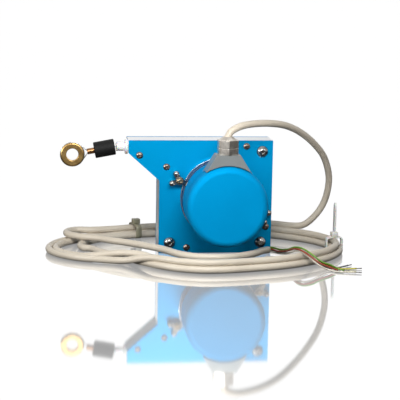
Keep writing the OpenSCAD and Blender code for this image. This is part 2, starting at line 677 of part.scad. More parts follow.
module encoder_cap() color("#0a93da") on_axis() turned() difference() {
    union() {
        translate([0, cap_back]) square([cap_r, cap_l - cap_fillet]);
        translate([0, cap_back]) square([cap_r - cap_fillet, cap_l]);
        translate([cap_r - cap_fillet, cap_front - cap_fillet]) circle(r = cap_fillet);
        translate([0, cap_back - skirt_l]) square([body_in_r - 0.2, skirt_l]);
    }
    translate([-1, cap_back - skirt_l - 1]) square([body_in_r - 0.2 - skirt_t + 1, skirt_l + 2.5]);
    translate([-1, cap_back + 1.4]) square([cap_r - cap_wall + 1, cap_l - cap_wall - 1.4]);
}

// Three-lobed claw: two feet on the plate, a finger over the flange's lip
module claw_shape() {
    circle(r = 3.2);
    for (s = [-1, 1]) {
        translate([clamp_foot_out, s * clamp_foot_side]) circle(r = clamp_foot_r);
        rotate(s * atan2(clamp_foot_side, clamp_foot_out)) translate([0, -1.8]) square([norm([clamp_foot_out, clamp_foot_side]), 3.6]);
    }
    translate([-clamp_finger_in, -1.8]) square([clamp_finger_in, 3.6]);
    translate([-clamp_finger_in, 0]) circle(r = 1.8);
}
module servo_clamps() color("#8f8a83") on_axis() for (a = clamp_angles) rotate(a) translate([clamp_ring, 0, 0]) difference() {
    union() {
        translate([0, 0, lip_front]) linear_extrude(clamp_t) claw_shape();
        for (s = [-1, 1]) translate([clamp_foot_out, s * clamp_foot_side, 0]) {
            rod(clamp_foot_r, face, lip_front + 0.5);
            translate([0, 0, lip_front + clamp_t]) claw_dome(1.9);
        }
        translate([-clamp_finger_in, 0, lip_front + clamp_t]) claw_dome(1.6);
    }
    rod(clamp_screw_r + hole_gap, face - 1, lip_front + clamp_t + 1);
}
module claw_dome(r) intersection() {
    translate([0, 0, -0.3 * r]) sphere(r = 1.05 * r, $fn = 48);
    rod(r, -0.2, 2 * r);
}
module clamp_screws() color("#a38a5c") on_axis() for (a = clamp_angles) rotate(a)
    translate([clamp_ring, 0, lip_front + clamp_t]) button_screw(2.7, 2, clamp_screw_r, lip_t + clamp_t + plate_t - 0.3, 1.1);

module gland_at() translate([axis_x, -gland_depth, outlet_z]) children();
module hex(af, h) rotate(30) cylinder(r = af / sqrt(3), h = h, $fn = 6);
module gland_body() color("#a79f92") gland_at() difference() {
    union() {
        rod(gland_thread_r, -gland_thread_l, 0);
        hex(gland_af, gland_hex_h);
        rod(gland_af / 2 - 1.4, 0, gland_hex_h + 1.2);
    }
    rod(cable_r + 0.15, -gland_thread_l - 1, gland_hex_h + 2);
}
gland_nut_z = gland_hex_h + 0.2;
module gland_nut() color("#a79f92") gland_at() difference() {
    union() {
        translate([0, 0, gland_nut_z]) hex(gland_af, gland_nut_h);
        translate([0, 0, gland_nut_z + gland_nut_h]) cylinder(r1 = gland_af / 2 - 0.6, r2 = cable_r + 1, h = gland_dome_h);
    }
    rod(cable_r + 0.3, 0, 20);
    rod(gland_af / 2 - 1.4 + seat_gap, gland_nut_z - 1, gland_hex_h + 1.3);
    rod(cable_r + 1.6, gland_nut_z, gland_nut_z + gland_nut_h);
}
module gland_seal() color("#3a3a38") gland_at() difference() {
    rod(cable_r + 1.5, gland_hex_h + 1.3, gland_nut_z + gland_nut_h - 0.1);
    rod(cable_r + 0.05, 0, 20);
}

module cable_lead() color("#cdc3b0") tube(smooth(lead_route, 2), cable_r, 10, [0, 1, 0]);
module cable_tail() color("#cdc3b0") tube(smooth(tail_route, 1), cable_r, 10, [0, 0, 1]);
module core(route) tube(smooth(route, 1), core_d / 2, 8, [0, 0, 1]);
module core_green() color("#5f8f2e") core(green_route);
module core_brown() color("#8a3f24") core(brown_route);
module core_white() color("#e8e4da") core(white_route);
module core_grey() color("#5c5f62") core(grey_route);
module core_yellow() color("#c9b23a") core(yellow_route);

// One layer of the coil's ring, d narrower on both sides
module coil_layer(z0, z1, d) translate([0, 0, z0]) linear_extrude(z1 - z0) difference() {
    polygon(coil_loop(d));
    polygon(coil_inner_loop(d));
}
module cable_coil() color("#c6bba7") difference() {
    union() {
        coil_layer(0, coil_bevel, coil_bevel * 0.7);
        coil_layer(coil_bevel, coil_h - coil_bevel, 0);
        coil_layer(coil_h - coil_bevel, coil_h, coil_bevel * 0.7);
    }
    tie_left_at() tie_loop(tie_left_in, tie_gap);
    tie_right_at() tie_loop(tie_right_in, tie_gap);
}

// Ties round the coil, across the strands at an angle of the coil
tie_left_angle = 121;
tie_right_angle = 2;
tie_left_in = coil_width(tie_left_angle);
tie_right_in = coil_width(tie_right_angle);
module tie_at(angle, turned) {
    place = coil_inset(angle, coil_width(angle) / 2);
    t = coil_heading(angle);
    translate([place[0], place[1], 0]) rotate([0, 0, atan2(t[1], t[0]) + turned]) children();
}
module tie_left_at() tie_at(tie_left_angle, 180) children();
module tie_right_at() tie_at(tie_right_angle, 0) children();
// Strap: width along the strands, a loop inner wide
module tie_loop(inner, grow) difference() {
    translate([-tie_w / 2 - grow, -inner / 2 - tie_t - grow, -grow]) cube([tie_w + 2 * grow, inner + 2 * (tie_t + grow), coil_h + tie_t + 2 * grow]);
    translate([-tie_w / 2 - 1, -inner / 2 + grow, tie_t + grow]) cube([tie_w + 2, inner - 2 * grow, coil_h - tie_t - 2 * grow]);
}
module cable_tie_left() color("#8f8a72") tie_left_at() {
    tie_loop(tie_left_in, 0);
    translate([-tie_w / 2 - 0.6, -3.5, coil_h + tie_t]) cube([tie_w + 1.2, 5, 4]);
}
tie_tail_l = 26;
module cable_tie_right() color("#e6e6e2") tie_right_at() {
    tie_loop(tie_right_in, 0);
    translate([-tie_w / 2 - 0.6, -2.5, coil_h + tie_t]) cube([tie_w + 1.2, 5, 3.6]);
    translate([-tie_w / 2, -0.6, coil_h + tie_t + 3.6]) cube([tie_w, tie_t, tie_tail_l - 3.6]);
}

front_plate();
back_plate();
housing_frame();
corner_posts();
corner_screws();
plate_screws();
mount_bushes();
spring_arbor();
arbor_screws();
drum_bearings();
inlet_nozzle();
wiper_felt();
wire_guide();
guide_eyelet();
drum();
drum_shaft();
shaft_grub_screws();
power_spring();
wire_winding();
wire_rope();
buffer_sleeve();
crimp_ferrule();
rope_loop();
eye_ring();
encoder_flange();
encoder_bearings();
encoder_shaft();
disc_hub();
code_disc();
led_block();
sensor_block();
encoder_board();
board_chips();
board_screws();
encoder_body();
cap_gasket();
encoder_cap();
servo_clamps();
clamp_screws();
gland_body();
gland_nut();
gland_seal();
cable_lead();
cable_coil();
cable_tail();
cable_tie_left();
cable_tie_right();
core_green();
core_brown();
core_white();
core_grey();
core_yellow();
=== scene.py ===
import json
import math

import bmesh
import bpy
from mathutils import Matrix, Quaternion, Vector


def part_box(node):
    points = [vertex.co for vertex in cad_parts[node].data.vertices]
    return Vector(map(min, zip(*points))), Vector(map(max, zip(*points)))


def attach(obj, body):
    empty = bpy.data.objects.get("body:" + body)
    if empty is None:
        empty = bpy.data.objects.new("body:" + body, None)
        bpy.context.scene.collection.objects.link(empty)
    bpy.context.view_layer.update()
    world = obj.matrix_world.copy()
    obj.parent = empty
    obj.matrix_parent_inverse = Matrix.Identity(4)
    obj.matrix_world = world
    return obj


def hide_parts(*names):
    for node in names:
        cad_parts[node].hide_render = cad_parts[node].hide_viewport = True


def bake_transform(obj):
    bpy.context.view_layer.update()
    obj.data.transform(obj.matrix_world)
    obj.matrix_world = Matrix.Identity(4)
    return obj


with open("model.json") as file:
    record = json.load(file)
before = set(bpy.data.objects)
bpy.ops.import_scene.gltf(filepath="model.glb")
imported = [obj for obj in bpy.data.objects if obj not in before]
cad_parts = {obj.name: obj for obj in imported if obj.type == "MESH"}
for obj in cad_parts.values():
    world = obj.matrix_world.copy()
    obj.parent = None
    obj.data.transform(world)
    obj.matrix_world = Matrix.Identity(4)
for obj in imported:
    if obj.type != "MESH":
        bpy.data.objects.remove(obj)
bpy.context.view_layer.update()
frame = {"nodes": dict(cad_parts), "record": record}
scene = bpy.context.scene
mm = 0.001

print("frame loaded:", len(frame["nodes"]), "nodes")


def toLinear(code, alpha=1.0):
    parts = [int(code[i : i + 2], 16) / 255 for i in (1, 3, 5)]
    return [p / 12.92 if p <= 0.04045 else ((p + 0.055) / 1.055) ** 2.4 for p in parts] + [alpha]


def addNode(tree, kind, inputs=None, **settings):
    node = tree.nodes.new(kind)
    for key, value in settings.items():
        setattr(node, key, value)
    for key, value in (inputs or {}).items():
        if isinstance(value, bpy.types.NodeSocket):
            tree.links.new(value, node.inputs[key])
        else:
            node.inputs[key].default_value = value
    return node


def linkObject(name, mesh):
    piece = bpy.data.objects.new(name, mesh)
    scene.collection.objects.link(piece)
    return piece


def meshFrom(name, points, faces, smooth=True):
    mesh = bpy.data.meshes.new(name)
    mesh.from_pydata([tuple(p) for p in points], [], faces)
    if smooth:
        mesh.shade_smooth()
    mesh.update()
    return linkObject(name, mesh)


def faceOutwards(piece):
    work = bmesh.new()
    work.from_mesh(piece.data)
    bmesh.ops.recalc_face_normals(work, faces=work.faces)
    work.to_mesh(piece.data)
    work.free()


def splinePoint(a, b, c, d, t):
    return 0.5 * (2 * b + (c - a) * t + (2 * a - 5 * b + 4 * c - d) * t * t + (3 * b - a - 3 * c + d) * t**3)


def smoothRoute(route, step):
    # a curve through the route's points, then even steps along it
    points = [Vector(p) * mm for p in route]
    last = len(points) - 1
    fine = []
    for i in range(last):
        around = [points[max(i - 1, 0)], points[i], points[i + 1], points[min(i + 2, last)]]
        fine += [splinePoint(*around, k / 12) for k in range(12)]
    fine.append(points[last])
    total = sum((b - a).length for a, b in zip(fine, fine[1:]))
    count = max(4, round(total / step))
    even, gone, i = [fine[0]], 0.0, 0
    for k in range(1, count):
        goal = total * k / count
        while gone + (fine[i + 1] - fine[i]).length < goal:
            gone += (fine[i + 1] - fine[i]).length
            i += 1
        even.append(fine[i].lerp(fine[i + 1], (goal - gone) / (fine[i + 1] - fine[i]).length))
    even.append(fine[last * 12])
    return even, total


def headingsOf(path):
    last = len(path) - 1
    return [(path[min(i + 1, last)] - path[max(i - 1, 0)]).normalized() for i in range(last + 1)]


def tubeAlong(name, path, radiusAt, sides, startSide, twist=0.0, lobes=0, lobeDepth=0.0):
    # rings carried along the path without turning, with a flat face at each end
    points, faces = [], []
    side = Vector(startSide)
    for i, (centre, heading) in enumerate(zip(path, headingsOf(path))):
        side = (side - heading * side.dot(heading)).normalized()
        across = heading.cross(side)
        radius = radiusAt(i / (len(path) - 1))
        for k in range(sides):
            angle = 2 * math.pi * k / sides
            lobe = 1 - lobeDepth * (0.5 + 0.5 * math.cos(lobes * angle)) if lobes else 1
            turned = angle + twist * i
            points.append(centre + radius * lobe * (side * math.cos(turned) + across * math.sin(turned)))
    for i in range(len(path) - 1):
        for k in range(sides):
            a, b = i * sides + k, i * sides + (k + 1) % sides
            faces.append((a, b, b + sides, a + sides))
    faces.append(tuple(range(sides - 1, -1, -1)))
    faces.append(tuple((len(path) - 1) * sides + k for k in range(sides)))
    return meshFrom(name, points, faces)


camera = {
    "aim": (-11.89, -13.0, 40.40),
    "distance": 1000.0,
    "azimuth": -7.116,
    "elevation": 9.862,
    "roll": 0.998,
    "lens": 120.35,
}
around, above = math.radians(camera["azimuth"]), math.radians(camera["elevation"])
away = Vector((math.sin(around) * math.cos(above), -math.cos(around) * math.cos(above), math.sin(above)))
cameraData = bpy.data.cameras.new("studioCamera")
cameraData.lens = camera["lens"]
cameraData.sensor_width = 36
cameraData.clip_end = 60
cameraObject = linkObject("studioCamera", cameraData)
cameraObject.rotation_mode = "QUATERNION"
cameraObject.location = (Vector(camera["aim"]) + away * camera["distance"]) * mm
cameraObject.rotation_quaternion = (-away).to_track_quat("-Z", "Y") @ Quaternion(
    (0, 0, 1), math.radians(camera["roll"])
)
scene.camera = cameraObject


signalCable = {
    "diameter": 5.2,
    "step": 4.0,
    "sides": 16,
    "exit": (3.0, -49.5, 93.0),
    "lead": [
        (3, -49.5, 76.5), (3, -49.5, 85), (3, -49.5, 93.4), (6.5, -48, 97.2), (14, -44.5, 100),
        (24.5, -38, 100.8), (37.5, -29, 100), (51, -17.5, 97), (64.5, -5, 90.5), (77.5, 6.5, 80.6),
        (88, 16.5, 68.6), (94, 24, 53), (94, 27.5, 39.5), (90.8, 29, 28.6), (84.6, 29.6, 19.5),
        (76.8, 31, 12.6), (68.6, 35.6, 10.9),
    ],
    "tail": [
        (-91, 41, 7.4), (-100, 41.5, 7.6), (-107.5, 37, 7.8), (-110.5, 29, 7.8), (-107.5, 20.8, 7.8),
        (-101, 14.8, 7.8), (-92.5, 10, 7.8), (-84, 4.5, 7.8), (-76, -2, 7.6), (-66.5, -9, 7.6),
        (-54, -20.5, 7.6), (-41, -35, 7.6), (-31, -52, 7.6), (-17, -63, 7.8), (3, -64, 7.8), (21, -50, 6.5),
        (33, -29, 4.5), (39.6, -19, 3.2),
    ],
}
# the coil's edge as radii every 15 degrees, and how far in and how high each pass of the cable lies
coil = {
    "centre": (-16.0, -12.0),
    "radii": [114, 109, 98, 87.5, 80, 76.5, 75.5, 76.5, 80.5, 87.5, 98, 109,
              110, 96, 75, 66, 65.5, 69.5, 73, 74.5, 78, 86, 96, 107.5],
    "sampleEvery": 4,
    "passes": [
        [(36, 1.6, 10.9), (54, 1.6, 10.9), (63, 0.5, 9.4), (76, 0, 7.2), (84, 0.7, 4.5), (92, 2.6, 2.6),
         (216, 2.6, 2.6), (227, 2.8, 6.2), (233, 4, 7.5), (241, 5.2, 7.1), (360, 5.2, 7.1)],
        [(0, 5.2, 7.1), (50, 5.2, 7.1), (62, 6.5, 5.5), (70, 7.8, 2.6), (200, 7.8, 2.6), (212, 8.4, 7.6),
         (228, 8.4, 7.6), (240, 8, 2.8), (250, 7.8, 2.6), (360, 7.8, 2.6)],
        [(0, 7.8, 2.6), (44, 7.8, 2.6), (60, 13.2, 2.6), (132, 13.2, 2.6), (150, 17, 2.6), (166, 24, 2.6),
         (179, 32, 2.6), (190, 34, 2.6), (201, 29, 2.6), (213, 15, 2.6), (225, 6.5, 2.6), (240, 2.6, 2.6),
         (360, 2.6, 2.6)],
        [(0, 2.6, 2.6), (66, 2.6, 2.6), (80, 5.2, 7.1), (134, 5.2, 7.1)],
    ],
}


def coilEdge(angle):
    # a smooth closed curve through the radii
    radii, step = coil["radii"], 15
    i, t = int(angle // step), (angle % step) / step
    radius = splinePoint(*(radii[(i + k) % len(radii)] for k in (-1, 0, 1, 2)), t)
    turned = math.radians(angle)
    middleX, middleY = coil["centre"]
    return Vector((middleX + radius * math.cos(turned), middleY + radius * math.sin(turned), 0))


def coilPoint(angle, inset, height):
    along = (coilEdge(angle + 1) - coilEdge(angle - 1)).normalized()
    return coilEdge(angle) + Vector((-along.y, along.x, 0)) * inset + Vector((0, 0, height))


def alongPass(stops, angle):
    for before, after in zip(stops, stops[1:]):
        if angle <= after[0]:
            t = (angle - before[0]) / (after[0] - before[0])
            return [b + (a - b) * t for b, a in zip(before[1:], after[1:])]
    return stops[-1][1:]


places = []
for stops in coil["passes"]:
    angle = math.ceil(stops[0][0] / coil["sampleEvery"]) * coil["sampleEvery"]
    while angle < stops[-1][0]:
        places.append([angle, *alongPass(stops, angle)])
        angle += coil["sampleEvery"]
for _ in range(2):
    # round off where one stretch meets the next
    eased = [[q[0]] + [(a + 2 * b + c) / 4 for a, b, c in zip(p[1:], q[1:], r[1:])]
             for p, q, r in zip(places, places[1:], places[2:])]
    places = [places[0], *eased, places[-1]]
coilRoute = [coilPoint(*place) for place in places]
cableRoute = signalCable["lead"] + coilRoute + signalCable["tail"]
cablePath, cableLength = smoothRoute(cableRoute, signalCable["step"] * mm)
cablePiece = tubeAlong(
    "signalCable", cablePath, lambda t: signalCable["diameter"] / 2 * mm, signalCable["sides"], (0, 1, 0)
)
print("signal cable:", round(cableLength, 3), "m")

cores = {
    "green": [
        (39.5, -19.6, 4.7), (42.8, -18.4, 5), (47.2, -25.9, 5), (50.6, -39.7, 7.9), (53.5, -53.3, 12.4),
        (57.2, -63.7, 13.4), (62.5, -72.6, 10.6), (68.5, -76.5, 6.5), (75.1, -77.4, 4.2), (81.8, -77.6, 0.7),
        (88, -80.2, 0.7),
    ],
    "yellow": [
        (39, -18.2, 4), (43.9, -17, 4.1), (48.8, -25.4, 4.1), (52.3, -39.5, 7.1), (55, -53, 11.7),
        (58.6, -63, 12.6), (63.5, -71.3, 9.9), (68.8, -74.9, 5.8), (75, -75.6, 3.3), (83.5, -74.6, 0.7),
        (98.6, -73.6, 0.7),
    ],
    "grey": [
        (39.1, -18.4, 2.4), (43.8, -17.2, 2.2), (48.7, -25.7, 2.3), (52.2, -40, 5.4), (54.9, -53.4, 10),
        (58.4, -63, 10.9), (62.9, -71, 8.3), (68, -74.6, 4.4), (74.3, -75.5, 1.6), (80.2, -71.6, 0.7),
        (94, -61.2, 0.7),
    ],
    "brown": [
        (39.8, -20.7, 3.5), (42.8, -19.1, 3.5), (46, -26.5, 3.6), (49.4, -40.3, 6.6), (52.4, -53.8, 11.2),
        (56.1, -64.1, 12.1), (61.2, -73, 9.4), (67.5, -77.4, 5.4), (74.3, -78.7, 2.8), (78.8, -79.4, 1.1),
        (83.2, -82, 0.7),
    ],
    "white": [
        (39.6, -19.9, 2), (43, -18.5, 1.7), (47.1, -26.4, 1.9), (50.6, -40.5, 4.9), (53.4, -53.9, 9.6),
        (56.9, -63.6, 10.5), (61.6, -71.9, 7.9), (67.2, -76.5, 3.7), (73.8, -78.2, 0.9), (79.2, -83.6, 0.7),
        (95.3, -87, 0.7),
    ],
}
coreShape = {"diameter": 1.2, "step": 2.0, "sides": 10, "bareLength": 5.0, "bareDiameter": 0.8}
corePieces, barePieces, coreLengths, corePaths = {}, {}, {}, {}
for tone, route in cores.items():
    path, _ = smoothRoute(route, coreShape["step"] * mm)
    bareSteps = round(coreShape["bareLength"] / coreShape["step"])
    corePieces[tone] = tubeAlong(
        f"core_{tone}_sheath", path[: len(path) - bareSteps], lambda t: coreShape["diameter"] / 2 * mm,
        coreShape["sides"], (0, 0, 1),
    )
    barePieces[tone] = tubeAlong(
        f"core_{tone}_strands", path[len(path) - bareSteps - 2 :],
        lambda t: coreShape["bareDiameter"] / 2 * mm,
        12, (0, 0, 1), twist=0.5, lobes=6, lobeDepth=0.3,
    )
    corePaths[tone] = path[: len(path) - bareSteps]
    coreLengths[tone] = sum((b - a).length for a, b in zip(corePaths[tone], corePaths[tone][1:]))
print("cores:", {k: round(v, 3) for k, v in coreLengths.items()})


def newFinish(name):
    material = bpy.data.materials.new(name)
    material.use_nodes = True
    tree = material.node_tree
    tree.nodes.clear()
    shader = addNode(tree, "ShaderNodeBsdfPrincipled")
    addNode(tree, "ShaderNodeOutputMaterial", {"Surface": shader.outputs["BSDF"]})
    return material, tree, shader


def surfaceFinish(name, tone, worn, roughness, metallic=0.0, patch=14.0, mixed=0.5, grain=0.6, depth=0.01,
                  stretch=(1, 1, 1), spread=0.08, centre=(0, 0, 0), sockets=None):
    # patch and grain are sizes in mm, depth the grain's height in mm
    material, tree, shader = newFinish(name)
    place = addNode(tree, "ShaderNodeTexCoord").outputs["Object"]
    mapped = addNode(tree, "ShaderNodeMapping", {"Vector": place, "Scale": stretch,
                                                 "Location": [-c * mm for c in centre]}).outputs["Vector"]
    patches = addNode(tree, "ShaderNodeTexNoise",
                      {"Vector": mapped, "Scale": 1 / (patch * mm), "Detail": 3.0})
    grains = addNode(tree, "ShaderNodeTexNoise", {"Vector": mapped, "Scale": 1 / (grain * mm), "Detail": 2.0})
    amount = addNode(tree, "ShaderNodeMapRange",
                     {"Value": patches.outputs["Fac"], "From Min": 0.35, "From Max": 0.7,
                      "To Min": 0.0, "To Max": mixed})
    colour = addNode(tree, "ShaderNodeMix",
                     {0: amount.outputs["Result"], 6: toLinear(tone), 7: toLinear(worn)}, data_type="RGBA")
    rough = addNode(tree, "ShaderNodeMapRange",
                    {"Value": grains.outputs["Fac"], "From Min": 0.3, "From Max": 0.7,
                     "To Min": roughness - spread / 2, "To Max": roughness + spread / 2})
    bump = addNode(tree, "ShaderNodeBump",
                   {"Height": grains.outputs["Fac"], "Distance": depth * mm, "Strength": 1.0})
    tree.links.new(colour.outputs[2], shader.inputs["Base Color"])
    tree.links.new(rough.outputs["Result"], shader.inputs["Roughness"])
    tree.links.new(bump.outputs["Normal"], shader.inputs["Normal"])
    shader.inputs["Metallic"].default_value = metallic
    for key, value in (sockets or {}).items():
        shader.inputs[key].default_value = value
    return material


waveRing = 0.314  # metres from ring to ring in a wave texture of scale 1


def turnedFinish(name, tone, roughness, centre, pitch=1.2, depth=0.01):
    # lathe-turned metal: fine rings round the axis, as wide as they need to be to show
    material, tree, shader = newFinish(name)
    place = addNode(tree, "ShaderNodeTexCoord").outputs["Object"]
    mapped = addNode(tree, "ShaderNodeMapping", {"Vector": place, "Location": [-c * mm for c in centre]})
    rings = addNode(tree, "ShaderNodeTexWave",
                    {"Vector": mapped.outputs["Vector"], "Scale": waveRing / (pitch * mm),
                     "Distortion": 1.0, "Detail": 2.0},
                    wave_type="RINGS", rings_direction="Y")
    rough = addNode(tree, "ShaderNodeMapRange", {"Value": rings.outputs["Fac"], "To Min": roughness - 0.05,
                                                 "To Max": roughness + 0.05})
    bump = addNode(tree, "ShaderNodeBump",
                   {"Height": rings.outputs["Fac"], "Distance": depth * mm, "Strength": 1.0})
    shader.inputs["Base Color"].default_value = toLinear(tone)
    shader.inputs["Metallic"].default_value = 1.0
    tree.links.new(rough.outputs["Result"], shader.inputs["Roughness"])
    tree.links.new(bump.outputs["Normal"], shader.inputs["Normal"])
    return material


encoderAxis = (3.0, 0.0, 42.5)
blueTint = {"Specular Tint": toLinear("#36ACD8")}
finishes = {
    # bead-blasted, blue-dyed anodised plate: a satin metal whose reflections are blue too
    "plate_blue": surfaceFinish("anodisedBluePlate", "#0098D2", "#008FC6", 0.48, 0.45, patch=30, grain=0.7,
                                depth=0.004, sockets=blueTint),
    # turned and blasted before it was dyed: duller than the plates, with a soft light along its edge
    "cap_blue": surfaceFinish("anodisedBlueCap", "#008FC8", "#0086BD", 0.66, 0.25, patch=26, grain=0.7,
                              depth=0.003, sockets={**blueTint, "Specular IOR Level": 0.3}),
    # extruded bar: nearly white, with drawn lines along its depth
    "frame_alu": surfaceFinish("extrudedAluminium", "#F6F7F8", "#ECEEF0", 0.34, 0.5, grain=0.8, depth=0.003,
                               stretch=(1, 0.08, 1)),
    # bright lathe rings round the encoder's axis
    "turned_alu": turnedFinish("turnedAluminium", "#C9CED2", 0.24, encoderAxis),
    # cast boss, blasted: an even mid grey with no clear reflections
    "body_alu": surfaceFinish("blastedAluminium", "#8B9090", "#7F8484", 0.46, 0.5, patch=16, grain=0.7,
                              depth=0.015),
    # polished heads: small sharp lights on a dark dome
    "screw_steel": surfaceFinish("stainlessScrew", "#A9A8A6", "#6E6D6B", 0.20, 1.0, patch=3, mixed=0.8),
    # plated heads, a little brown
    "small_screw": surfaceFinish("zincScrew", "#97877C", "#5E5550", 0.30, 1.0, patch=2.5, mixed=0.8),
    # blackened steel: nearly black with a weak shine
    "dark_screw": surfaceFinish("blackOxideScrew", "#4A4D50", "#3A3C3E", 0.35, 1.0),
    # turned bright bar
    "post_alu": turnedFinish("turnedPost", "#C5C8CB", 0.26, encoderAxis),
    # plated steel, pale and slightly dull
    "bush_steel": surfaceFinish("zincBush", "#B9BBBD", "#9FA2A5", 0.30, 1.0),
    # ground rings: the brightest metal here
    "bearing_steel": surfaceFinish("groundBearing", "#D2D4D6", "#C4C6C8", 0.14, 1.0),
    # turned flange and boss
    "arbor_alu": turnedFinish("turnedArbor", "#D0D3D5", 0.24, encoderAxis),
    # moulded acetal: white, lit a little from within
    "nozzle_plastic": surfaceFinish("acetalNozzle", "#F4F2F3", "#E9E7E8", 0.28, 0.0, mixed=0.6,
                                    sockets={"Subsurface Weight": 0.25, "Subsurface Scale": 0.003}),
    # pressed wool: brown grey, quite without shine
    "felt": surfaceFinish("woolFelt", "#8A8378", "#6E675D", 0.95, 0.0, grain=0.5, depth=0.2),
    # machined acetal, ivory and softly glossy
    "guide_plastic": surfaceFinish("ivoryAcetal", "#E6E2D8", "#D9D5CA", 0.40),
    # fired and glazed: hard white gloss
    "ceramic": surfaceFinish("glazedCeramic", "#F2F2EE", "#E8E8E4", 0.12, sockets={"Coat Weight": 0.5}),
    # turned drum, bright rings
    "drum_alu": turnedFinish("turnedDrum", "#D8DADC", 0.22, encoderAxis),
    # ground shaft, nearly a mirror
    "shaft_steel": turnedFinish("groundShaft", "#C2C5C8", 0.16, encoderAxis),
    # hardened strip: blue grey
    "spring_steel": surfaceFinish("temperedSpring", "#66707A", "#4E5862", 0.28, 1.0),
    # stranded wire: broken grey lights
    "rope_steel": surfaceFinish("strandedSteel", "#B4B7BA", "#8E9194", 0.30, 1.0, patch=2, grain=0.4),
    # moulded rubber: black with hardly any shine
    "sleeve_rubber": surfaceFinish("blackRubber", "#0A0A0A", "#111110", 0.62, 0.0, patch=6, grain=0.5,
                                   depth=0.02, sockets={"Specular IOR Level": 0.22}),
    # crimped tube, warm and patchy
    "copper": surfaceFinish("crimpedCopper", "#A57A50", "#6E4B30", 0.32, 1.0, patch=3, mixed=0.8),
    # turned ring, a satin yellow
    "brass_ring": surfaceFinish("satinBrass", "#CBA86B", "#9A7745", 0.34, 1.0, patch=5, mixed=0.7),
    # turned hub
    "disc_brass": turnedFinish("turnedBrass", "#C2A05C", 0.24, encoderAxis),
    # clear disc with a green blue edge
    "disc_glass": surfaceFinish("codeGlass", "#D8E8EA", "#C8DCDE", 0.08,
                                sockets={"Transmission Weight": 0.8}),
    # moulded housings of the optics, satin black
    "block_black": surfaceFinish("mouldedBlack", "#222325", "#2C2D2F", 0.45),
    # lacquered board, deep green
    "board_green": surfaceFinish("solderMask", "#1B6A38", "#155A2E", 0.35),
    # moulded rubber, matt charcoal
    "gasket_rubber": surfaceFinish("nitrileRubber", "#222425", "#2B2D2E", 0.60),
    # plated claws: white lights on a dark metal
    "clamp_steel": surfaceFinish("zincClamp", "#B4AFA8", "#6C6863", 0.22, 1.0, patch=4, mixed=0.8),
    # yellow-plated screws
    "clamp_screw": surfaceFinish("yellowZinc", "#B5A284", "#76684F", 0.26, 1.0, patch=3, mixed=0.8),
    # plated brass flats: silver, each facet in its own grey
    "gland_nickel": surfaceFinish("nickelBrass", "#E2DCD3", "#A59B8F", 0.30, 1.0, patch=5, mixed=0.6),
    # moulded seal, matt black
    "gland_rubber": surfaceFinish("glandRubber", "#2E2E2D", "#242423", 0.60),
    # extruded PVC: grey beige, satin, a little uneven along its length
    "cable_jacket": surfaceFinish("greyBeigePvc", "#CDC3B2", "#BDB2A0", 0.42, 0.0, patch=22, grain=1.2,
                                  depth=0.03, sockets={"Sheen Weight": 0.1}),
    # moulded nylon, dull olive
    "tie_olive": surfaceFinish("oliveNylon", "#8E8A74", "#7C7863", 0.42),
    # moulded nylon, milky white
    "tie_white": surfaceFinish("whiteNylon", "#E8E8E4", "#DADAD5", 0.38,
                               sockets={"Subsurface Weight": 0.2, "Subsurface Scale": 0.002}),
    # thin extruded sheaths, each one colour and a little glossy
    "core_green": surfaceFinish("greenPvc", "#5C8A22", "#6F9A2E", 0.36),
    "core_brown": surfaceFinish("brownPvc", "#8E3E22", "#A14A2A", 0.36),
    "core_white": surfaceFinish("whitePvc", "#D5CEBF", "#C6BFAF", 0.36),
    "core_grey": surfaceFinish("greyPvc", "#6A6C6E", "#565859", 0.36),
    "core_yellow": surfaceFinish("yellowPvc", "#BDB43A", "#A9A22E", 0.36),
}
# bare strands at the ends of the cores: dull silver
tinnedCopper = surfaceFinish("tinnedCopper", "#9C9A98", "#77726E", 0.34, 1.0, patch=1.5, mixed=0.8)
for part in frame["record"]["subparts"]:
    node = frame["nodes"][part["node"]]
    node.data.materials.clear()
    node.data.materials.append(finishes[part["material_slot"]])
print("finishes:", len(finishes))


def dress(piece, slotName, body, material=None):
    piece.data.materials.clear()
    piece.data.materials.append(material or finishes[slotName])
    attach(piece, body)


dress(cablePiece, "cable_jacket", "housing")
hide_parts("cable_lead", "cable_coil", "cable_tail")
for tone in cores:
    dress(corePieces[tone], f"core_{tone}", "housing")
    dress(barePieces[tone], f"core_{tone}", "housing", tinnedCopper)
    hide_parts(f"core_{tone}")


def finishedMesh(piece):
    # the modifiers' result as a plain mesh
    mesh = bpy.data.meshes.new_from_object(piece.evaluated_get(bpy.context.evaluated_depsgraph_get()))
    piece.modifiers.clear()
    piece.data = mesh


def edged(nodeName, width, slotName, body="housing", name=None, segments=2):
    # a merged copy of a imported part, with its sharp edges broken
    mesh = frame["nodes"][nodeName].data.copy()
    work = bmesh.new()
    work.from_mesh(mesh)
    bmesh.ops.remove_doubles(work, verts=work.verts, dist=0.002 * mm)
    bmesh.ops.dissolve_limit(work, angle_limit=math.radians(1.0), verts=work.verts, edges=work.edges)
    work.to_mesh(mesh)
    work.free()
    mesh.shade_smooth()
    piece = linkObject(name or nodeName + "_edged", mesh)
    bevel = piece.modifiers.new("brokenEdges", "BEVEL")
    bevel.width = width * mm
    bevel.segments = segments
    bevel.limit_method = "ANGLE"
    bevel.angle_limit = math.radians(32)
    weighted = piece.modifiers.new("flatFaces", "WEIGHTED_NORMAL")
    weighted.weight = 100
    finishedMesh(piece)
    dress(piece, slotName, body)
    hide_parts(nodeName)
    return piece


